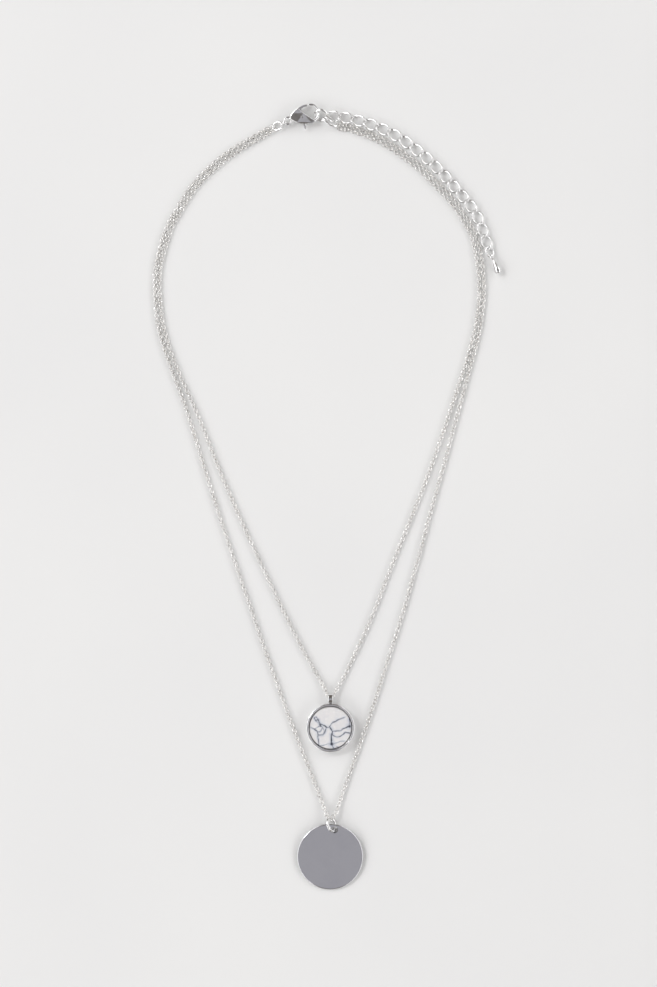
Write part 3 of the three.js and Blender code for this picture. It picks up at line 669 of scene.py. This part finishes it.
def bodyOutline():
    opening, neck, depth = clasp["opening"], clasp["neck"], clasp["depth"]
    half = math.degrees(math.acos(clasp["flat"] / opening))
    outline = [(opening * math.cos(math.radians(a)), opening * math.sin(math.radians(a)))
               for a in (-66, clasp["flatHeading"] - 90 + half, clasp["flatHeading"] - 90 - half)]
    outline += [(-3.1, 0.6), (-3.8, 1.3)]
    outline += bentLine((-3.8, 1.3), (-5.3, 0.5), (neck, -0.9))
    outline += [(neck, -1.9)]
    outline += bentLine((neck, -1.9), (-4.3, depth + 0.1), (-1.4, depth), 10)
    outline += bentLine((-1.4, depth), (0.7, depth + 0.05), (1.55, depth + 0.75), 6)
    return outline


# the bulb swells towards its middle, as a cast clasp does
def swollen(mesh):
    low, high, thinnest = clasp["neck"], 1.5, clasp["thinnest"]
    for vertex in mesh.vertices:
        along = (vertex.co.x - low) / (high - low)
        swell = math.sin(math.pi * min(max(along * clasp["swellStart"], 0), 1))
        vertex.co.z *= thinnest + (1 - thinnest) * swell
    return mesh


def addClaspBody():
    half = clasp["thickness"] / 2
    bulb = pieceFromMesh("bulb", prism("bulb", bodyOutline(), -half, half))
    rounding = bulb.modifiers.new("round", "BEVEL")
    rounding.width = clasp["edge"]
    rounding.segments = 5
    rounding.limit_method = "ANGLE"
    rounding.angle_limit = math.radians(50)
    bulbMesh = swollen(settled(bulb))
    gap = clasp["lever"] / 2 + clasp["slotGap"]
    (low, high), reach = clasp["slot"], clasp["slotReach"]
    slot = prism("slot", [(low, -reach), (high, -reach), (high, reach), (low, reach)], -gap, gap)
    bulbMesh = cutBy(bulbMesh, slot)
    armRadius = clasp["opening"] + clasp["armLean"]
    spine, radii, steps, start = [], [], 40, clasp["armStart"]
    for i in range(steps + 1):
        t = i / steps
        angle = math.radians(start + (clasp["tipAngle"] - start) * t)
        spine.append((armRadius * math.cos(angle), armRadius * math.sin(angle), 0))
        radii.append(clasp["arm"] * (1.12 - 0.12 * min(1, 3 * t)) + (clasp["armTip"] - clasp["arm"]) * t ** 3)
    arm = barMesh("arm", spine, radii, 24)
    bpy.ops.mesh.primitive_torus_add(major_radius=clasp["eye"], minor_radius=clasp["eyeWire"] / 2,
                                     major_segments=64, minor_segments=20)
    torus = bpy.context.object
    eye = torus.data.copy()
    bpy.data.objects.remove(torus)
    eye.transform(Matrix.Translation((-clasp["eyeReach"], clasp["eyeDrop"], 0)))
    mesh = asCast(joined("clasp_body_cast", [bulbMesh, arm, eye]), clasp["voxel"], clasp["smoothing"])
    mesh.transform(claspPlace)
    mesh.shade_smooth()
    hand(pieceFromMesh("clasp_body_cast", mesh), "clasp", castFinish, "clasp_body")


def leverOutline():
    pinX, pinY = clasp["pin"]
    armRadius = clasp["opening"] + clasp["armLean"] + 0.05
    tipX = armRadius * math.cos(math.radians(clasp["tipAngle"] + 14))
    tipY = armRadius * math.sin(math.radians(clasp["tipAngle"] + 14))
    outline = [(pinX + 0.85, pinY), (-2.75, 1.1)]
    outline += bentLine((-2.75, 1.1), (-2.3, 1.7), (tipX + 0.25, tipY - 0.35))
    outline += [(tipX - 0.05, tipY + 0.23)]
    outline += bentLine(outline[-1], (-3.0, 2.2), (-3.8, 1.35))
    outline += [(pinX - 0.85, pinY), (pinX + 0.15, pinY - 1.45), (pinX + 0.72, pinY - 3.5)]
    outline += bentLine(outline[-1], (pinX + 0.97, pinY - 3.75), (pinX + 1.22, pinY - 3.5))
    outline += [(pinX + 0.75, pinY - 0.85)]
    return outline


def addLever():
    half = clasp["lever"] / 2
    blank = prism("lever", leverOutline(), -half, half)
    bore = clasp["pinRadius"] + clasp["pinRoom"]
    hole = latheMesh("hole", [(0, -2), (bore, -2), (bore, 2), (0, 2)], 32)
    hole.transform(Matrix.Translation((*clasp["pin"], 0)))
    mesh = asCast(cutBy(blank, hole), clasp["leverVoxel"], clasp["leverSmoothing"])
    mesh.transform(claspPlace)
    mesh.shade_smooth()
    hand(pieceFromMesh("clasp_lever_cast", mesh), "lever", castFinish, "clasp_lever")


def addPin():
    radius, half, crown = clasp["pinRadius"], clasp["thickness"] / 2, clasp["pinCrown"]
    profile = [(0, -half), (radius - crown, -half)] + roundIn((radius - crown, -half + crown), crown, -90, 0)[1:]
    profile += roundIn((radius - crown, half - crown), crown, 0, 90) + [(0, half)]
    mesh = latheMesh("clasp_pin_rivet", profile, 40)
    mesh.transform(claspPlace @ Matrix.Translation((*clasp["pin"], 0)))
    hand(pieceFromMesh("clasp_pin_rivet", mesh), "clasp", steelFinish, "clasp_pivot_pin")


spring = {"wire": 0.16 * mm, "radius": 0.36 * mm, "turns": 4.0, "length": 1.05 * mm, "start": (-4.6, -2.1, 0)}
springTreeSizes = [
    ("Turns", "NodeSocketFloat", 4.0), ("Radius", "NodeSocketFloat", 0.0004),
    ("Length", "NodeSocketFloat", 0.001), ("Wire", "NodeSocketFloat", 0.0002),
    ("Finish", "NodeSocketMaterial", None),
]


def springTree():
    tree, given, result = newTree("coilSpring", springTreeSizes)
    coil = addNode(tree, "GeometryNodeCurveSpiral", {
        "Resolution": 32, "Rotations": given.outputs["Turns"], "Start Radius": given.outputs["Radius"],
        "End Radius": given.outputs["Radius"], "Height": given.outputs["Length"]})
    section = addNode(tree, "GeometryNodeCurvePrimitiveCircle", {"Resolution": 12})
    tree.links.new(mathNode(tree, "MULTIPLY", given.outputs["Wire"], 0.5), section.inputs["Radius"])
    wire = addNode(tree, "GeometryNodeCurveToMesh",
                   {"Curve": coil.outputs[0], "Profile Curve": section.outputs[0], "Fill Caps": True})
    real = addNode(tree, "GeometryNodeRealizeInstances", {"Geometry": wire.outputs[0]})
    coated = addNode(tree, "GeometryNodeSetMaterial", {"Geometry": real.outputs[0],
                                                       "Material": given.outputs["Finish"]})
    tree.links.new(coated.outputs[0], result.inputs[0])
    return tree


def addSpring():
    start = pieceFromMesh("clasp_spring_coil", bpy.data.meshes.new("coil"))
    sizes = {"Turns": spring["turns"], "Radius": spring["radius"], "Length": spring["length"],
             "Wire": spring["wire"], "Finish": steelFinish}
    mesh = facesOutwards(settled(withTree(start, springTree(), sizes)))
    mesh.transform(Matrix.Rotation(math.pi / 2, 4, "Y"))
    mesh.transform(Matrix.Translation(claspPlace @ Vector(spring["start"])))
    mesh.shade_smooth()
    hand(pieceFromMesh("clasp_spring_coil", mesh), "clasp", steelFinish, "clasp_spring")


addClaspBody()
addLever()
addPin()
addSpring()
print("clasp made")

bezel = {"radius": 7.35 * mm, "wall": 0.7 * mm, "height": 3.0 * mm, "floor": 0.6 * mm, "edge": 0.32 * mm,
         "lip": 0.14 * mm, "bailRadius": 1.6 * mm, "bailWall": 0.5 * mm, "bailWidth": 1.4 * mm,
         "bailCrown": 0.2 * mm, "middle": (0.00075, -0.07015), "bailMiddle": (0.00075, -0.06135, 0.0016)}
stone = {"gap": 0.3 * mm, "thickness": 1.7 * mm, "edge": 0.4 * mm, "crown": 0.12 * mm, "rows": 90,
         "segments": 400, "chamfer": 0.1 * mm, "wander": 0.30, "wanderSize": 1.3, "seed": 21, "fineWander": 0.09,
         "fineSize": 0.35, "swell": 0.9, "swellSize": 0.8, "slim": 0.56}

# veins in millimetres from the stone's middle: their points, then their half width
veins = [
    ([(-5.1, 3.1), (-4.4, 2.3), (-3.7, 2.5), (-2.9, 1.1), (-2.2, 0.7), (-1.0, 0.2)], 0.19),
    ([(-5.1, 3.1), (-4.3, 3.4), (-3.8, 2.7)], 0.12),
    ([(-5.9, 0.2), (-5.0, -0.3), (-4.0, -1.1), (-3.8, -2.1), (-3.6, -5.2), (-3.3, -5.7)], 0.15),
    ([(-4.0, -1.1), (-3.1, -1.1), (-2.5, 0.1), (-3.1, 0.6)], 0.13),
    ([(-3.8, -2.1), (-2.4, -2.2), (-1.6, -1.2), (-1.3, -0.4)], 0.20),
    ([(-1.9, 0.8), (-0.9, 0.2), (-0.3, 0.4), (1.0, 1.8), (2.5, 2.6), (4.3, 3.3)], 0.16),
    ([(-0.3, 0.4), (0.6, -1.1), (0.3, -2.0), (0.3, -4.1), (0.1, -4.8), (0.8, -6.0)], 0.22),
    ([(0.6, -1.1), (1.7, -0.9), (3.2, -0.6), (4.4, 0.0), (5.7, 0.5)], 0.17),
    ([(5.7, 0.5), (5.6, 2.5)], 0.22),
    ([(0.4, -2.3), (1.7, -2.7), (2.6, -2.7), (3.4, -2.1), (4.4, -1.5), (5.9, -1.5)], 0.15),
    ([(0.7, -5.0), (1.9, -4.6), (3.0, -4.1), (4.4, -3.9)], 0.09),
    ([(-3.4, -5.4), (-1.7, -5.1), (-0.1, -4.8)], 0.09),
    ([(1.8, -5.6), (2.7, -6.0)], 0.13),
    ([(-4.4, 2.3), (-3.6, 1.6), (-2.2, 0.7)], 0.10),
    ([(-5.0, -0.3), (-4.0, 0.1), (-3.1, 0.6)], 0.10),
    ([(-2.4, -2.2), (-1.9, -1.0), (-2.5, 0.1)], 0.10),
]
veinNodes = [(0.35, -4.95, 0.42), (5.75, 0.5, 0.38), (-3.0, 0.9, 0.26), (-1.2, 0.2, 0.24), (0.4, -2.0, 0.26)]


def bezelPlace():
    return Vector((*bezel["middle"], 0)) + middleOffset


def addBezel():
    radius, height, edge = bezel["radius"], bezel["height"], bezel["edge"]
    inner = radius - bezel["wall"]
    lip = bezel["lip"]
    profile = [(0, 0), (radius - edge, 0)]
    profile += roundIn((radius - edge, edge), edge, -90, 0, 8)[1:]
    profile += roundIn((radius - edge, height - edge), edge, 0, 90, 8)
    profile += roundIn((inner + lip, height - lip), lip, 90, 180, 6)
    profile += [(inner, height - 2.4 * lip), (inner, bezel["floor"]), (0, bezel["floor"])]
    cup = latheMesh("cup", profile, 180)
    outer = bezel["bailRadius"]
    inside = outer - bezel["bailWall"]
    half = bezel["bailWidth"] / 2
    crown = bezel["bailCrown"]
    band = [(inside, 0)] + roundIn((inside + crown, -half + crown), crown, 180, 270, 5)
    band += roundIn((outer - crown, -half + crown), crown, -90, 0, 5)
    band += roundIn((outer - crown, half - crown), crown, 0, 90, 5)
    band += roundIn((inside + crown, half - crown), crown, 90, 180, 5) + [(inside, 0)]
    bail = latheMesh("bail", band, 72)
    bail.transform(Matrix.Rotation(math.pi / 2, 4, "Y"))
    bail.transform(Matrix.Translation(Vector(bezel["bailMiddle"]) + middleOffset))
    cup.transform(Matrix.Translation(bezelPlace()))
    mesh = joined("stone_bezel_cast", [cup, bail])
    mesh.shade_smooth()
    hand(pieceFromMesh("stone_bezel_cast", mesh), "stone_pendant", castFinish, "stone_bezel")


# how strongly each point of the stone's face lies in a vein, and in the cooler mist round one
def veinShares(points):
    noise.seed_set(stone["seed"])
    spots = numpy.array([(p[0] / mm, p[1] / mm) for p in points])
    drift = numpy.array([noise.noise_vector(Vector((x, y, 3.1)) / stone["wanderSize"])[:2] for x, y in spots])
    fine = numpy.array([noise.noise_vector(Vector((x, y, 7.7)) / stone["fineSize"])[:2] for x, y in spots])
    # veins swell and thin out along their run
    swell = numpy.array([noise.noise(Vector((x, y, 5.3)) / stone["swellSize"]) for x, y in spots])
    thickness = stone["slim"] * (1 + stone["swell"] * swell)
    spots = spots + drift * stone["wander"] + fine * stone["fineWander"]
    line = numpy.zeros(len(spots))
    mist = numpy.zeros(len(spots))
    for path, width in veins:
        for start, end in zip(path, path[1:]):
            a, b = numpy.array(start), numpy.array(end)
            t = numpy.clip(((spots - a) @ (b - a)) / ((b - a) @ (b - a)), 0, 1)
            away = numpy.linalg.norm(spots - (a + t[:, None] * (b - a)), axis=1)
            core = numpy.clip(1.9 - 1.3 * away / (width * thickness), 0, 1)
            line = numpy.maximum(line, core * min(1, 0.5 + width * 3))
            mist = numpy.maximum(mist, numpy.clip(1 - away / (width * 4.5), 0, 1) ** 1.7)
    for x, y, radius in veinNodes:
        away = numpy.linalg.norm(spots - numpy.array((x, y)), axis=1)
        line = numpy.maximum(line, numpy.clip(1.5 - away / radius, 0, 1))
        mist = numpy.maximum(mist, numpy.clip(1 - away / (radius * 4), 0, 1))
    return line, mist


def addStone():
    radius = bezel["radius"] - bezel["wall"] - stone["gap"]
    thickness, edge, crown, chamfer = stone["thickness"], stone["edge"], stone["crown"], stone["chamfer"]
    flat = radius - edge
    profile = [(0, 0), (radius - chamfer, 0), (radius, chamfer)]
    shoulder = thickness - crown - edge
    profile += roundIn((flat, shoulder), edge, 0, 90)
    for i in range(1, stone["rows"]):
        r = flat * (1 - i / stone["rows"])
        profile.append((r, thickness - crown * (r / flat) ** 2))
    profile.append((0, thickness))
    mesh = latheMesh("howlite_cabochon", profile, stone["segments"])
    line, mist = veinShares([vertex.co for vertex in mesh.vertices])
    for label, values in (("veinLine", line), ("veinMist", mist)):
        mesh.attributes.new(label, "FLOAT", "POINT").data.foreach_set("value", values.astype("float32"))
    mesh.transform(Matrix.Translation(bezelPlace() + Vector((0, 0, bezel["floor"] + stone["gap"]))))
    hand(pieceFromMesh("howlite_cabochon", mesh), "stone_pendant", stoneFinish, "howlite_stone")


addBezel()
addStone()
print("stone pendant made")

disc = {"radius": 10 * mm, "thickness": 0.9 * mm, "edge": 0.32 * mm, "hole": 1.02 * mm, "inset": 1.7 * mm,
        "slope": 3.42, "turn": -9.3, "ring": 4.95 * mm, "ringWire": 0.75 * mm, "ringTilt": 58, "ringTurn": 17,
        "seamTurn": 115}


def addDisc():
    radius, half, edge, hole = disc["radius"], disc["thickness"] / 2, disc["edge"], disc["hole"]
    profile = [(0, -half), (radius - edge, -half)]
    profile += roundIn((radius - edge, -half + edge), edge, -90, 0, 8)[1:]
    profile += roundIn((radius - edge, half - edge), edge, 0, 90, 8) + [(0, half)]
    blank = latheMesh("blank", profile, 256)
    tool = latheMesh("tool", [(0, -2 * half), (hole, -2 * half), (hole, 2 * half), (0, 2 * half)], 64)
    tool.transform(Matrix.Translation((0, radius - disc["inset"], 0)))
    mesh = cutBy(blank, tool)
    centre = middleOf("disc_pendant")
    slope = math.radians(disc["slope"])
    centre.z = half + radius * math.sin(slope)
    turned = Matrix.Rotation(slope, 4, "X") @ Matrix.Rotation(math.radians(disc["turn"]), 4, "Z")
    mesh.transform(Matrix.Translation(centre) @ turned)
    mesh.name = "disc_pendant_plate"
    mesh.set_sharp_from_angle(angle=math.radians(30))
    hand(pieceFromMesh("disc_pendant_plate", mesh), "disc", discFinishWithPaintedGrey, "disc_pendant")
    leaning = Matrix.Rotation(math.radians(disc["ringTurn"]), 4, "Z")
    leaning @= Matrix.Rotation(math.radians(disc["ringTilt"]), 4, "Y")
    seamUp = Matrix.Rotation(math.radians(disc["seamTurn"]), 4, "Z")
    addRing("disc_jump_ring", "disc_ring", Matrix.Translation(middleOf("disc_jump_ring")) @ leaning @ seamUp,
            length=disc["ring"], width=disc["ring"], wire=disc["ringWire"], seam=0.35)


addDisc()
print("disc pendant made")

# a patch of the room is where it lies, then how close to that counts as its rim and its inside
studio = {"floorSize": 4.0, "floorDrop": 0.02 * mm, "floorColour": (0.87, 0.868, 0.86, 1), "grain": 1.2 * mm,
          "grainRelief": 0.02 * mm, "patches": 0.12, "patchDim": (0.975, 0.975, 0.98),
          "keyPlace": (-1.1, 0.6, 1.5), "keySize": 0.45, "keyPower": 6.0,
          "leftBox": (2.3, 2.3, 2.31, 1), "rightBox": (1.95, 1.95, 1.96, 1), "wall": (0.13, 0.115, 0.10, 1),
          "boxSide": (0.24, 0.42), "boxHeight": (0.26, 0.42),
          "overhead": (0.40, 0.395, 0.42, 1), "overheadPatch": ((0.0, -0.17, 0.985), 0.955, 0.979),
          "ceiling": (0.16, 0.15, 0.145, 1), "ceilingPatch": ((0.0, -0.08, 0.997), 0.74, 0.81)}


def addFloor():
    bpy.ops.mesh.primitive_grid_add(size=studio["floorSize"], x_subdivisions=8, y_subdivisions=8)
    floor = bpy.context.object
    floor.name = "table"
    floor.data.transform(Matrix.Translation((0, 0, -studio["floorDrop"])))
    material, tree, shader, place = newMaterial("matBoard")
    grain = speckle(tree, place, studio["grain"], 5.0)
    patches = speckle(tree, place, studio["patches"], 2.0)
    pale = studio["floorColour"]
    dim = (*(colour * share for colour, share in zip(pale, studio["patchDim"])), 1)
    shade = blended(tree, ranged(tree, patches, 0.0, 1.0), pale, dim)
    tree.links.new(shade, shader.inputs["Base Color"])
    tree.links.new(ranged(tree, grain, 0.5, 0.65), shader.inputs["Roughness"])
    bump = addNode(tree, "ShaderNodeBump", {"Height": grain, "Distance": studio["grainRelief"], "Strength": 0.4})
    tree.links.new(bump.outputs[0], shader.inputs["Normal"])
    floor.data.materials.append(material)


# how far a direction lies into a round patch of the room
def patchOf(tree, direction, middle, fromLow, fromHigh):
    closeness = addNode(tree, "ShaderNodeVectorMath", {0: direction, 1: Vector(middle).normalized()},
                        operation="DOT_PRODUCT")
    return ranged(tree, closeness.outputs["Value"], 0.0, 1.0, fromLow, fromHigh)


# a dark room with a long soft box down each side, and a grey panel overhead that the disc looks up at
def addRoom():
    world = bpy.data.worlds.new("room")
    world.use_nodes = True
    scene.world = world
    tree = world.node_tree
    direction = addNode(tree, "ShaderNodeTexCoord").outputs["Generated"]
    parts = addNode(tree, "ShaderNodeSeparateXYZ", {0: direction})
    across = mathNode(tree, "ABSOLUTE", parts.outputs[0])
    inBox = mathNode(tree, "MULTIPLY", ranged(tree, across, 0.0, 1.0, *studio["boxSide"]),
                     ranged(tree, parts.outputs[2], 0.0, 1.0, *studio["boxHeight"]))
    right = ranged(tree, parts.outputs[0], 0.0, 1.0, -0.1, 0.1)
    shade = blended(tree, inBox, studio["wall"], blended(tree, right, studio["leftBox"], studio["rightBox"]))
    for patch in ("ceiling", "overhead"):
        shade = blended(tree, patchOf(tree, direction, *studio[patch + "Patch"]), shade, studio[patch])
    tree.links.new(shade, tree.nodes["Background"].inputs["Color"])


def addKey():
    data = bpy.data.lights.new("key", "AREA")
    data.shape = "DISK"
    data.size = studio["keySize"]
    data.energy = studio["keyPower"]
    light = bpy.data.objects.new("key", data)
    light.location = studio["keyPlace"]
    light.rotation_euler = (-Vector(studio["keyPlace"])).to_track_quat("-Z", "Y").to_euler()
    scene.collection.objects.link(light)


addFloor()
addRoom()
addKey()
print("studio set")
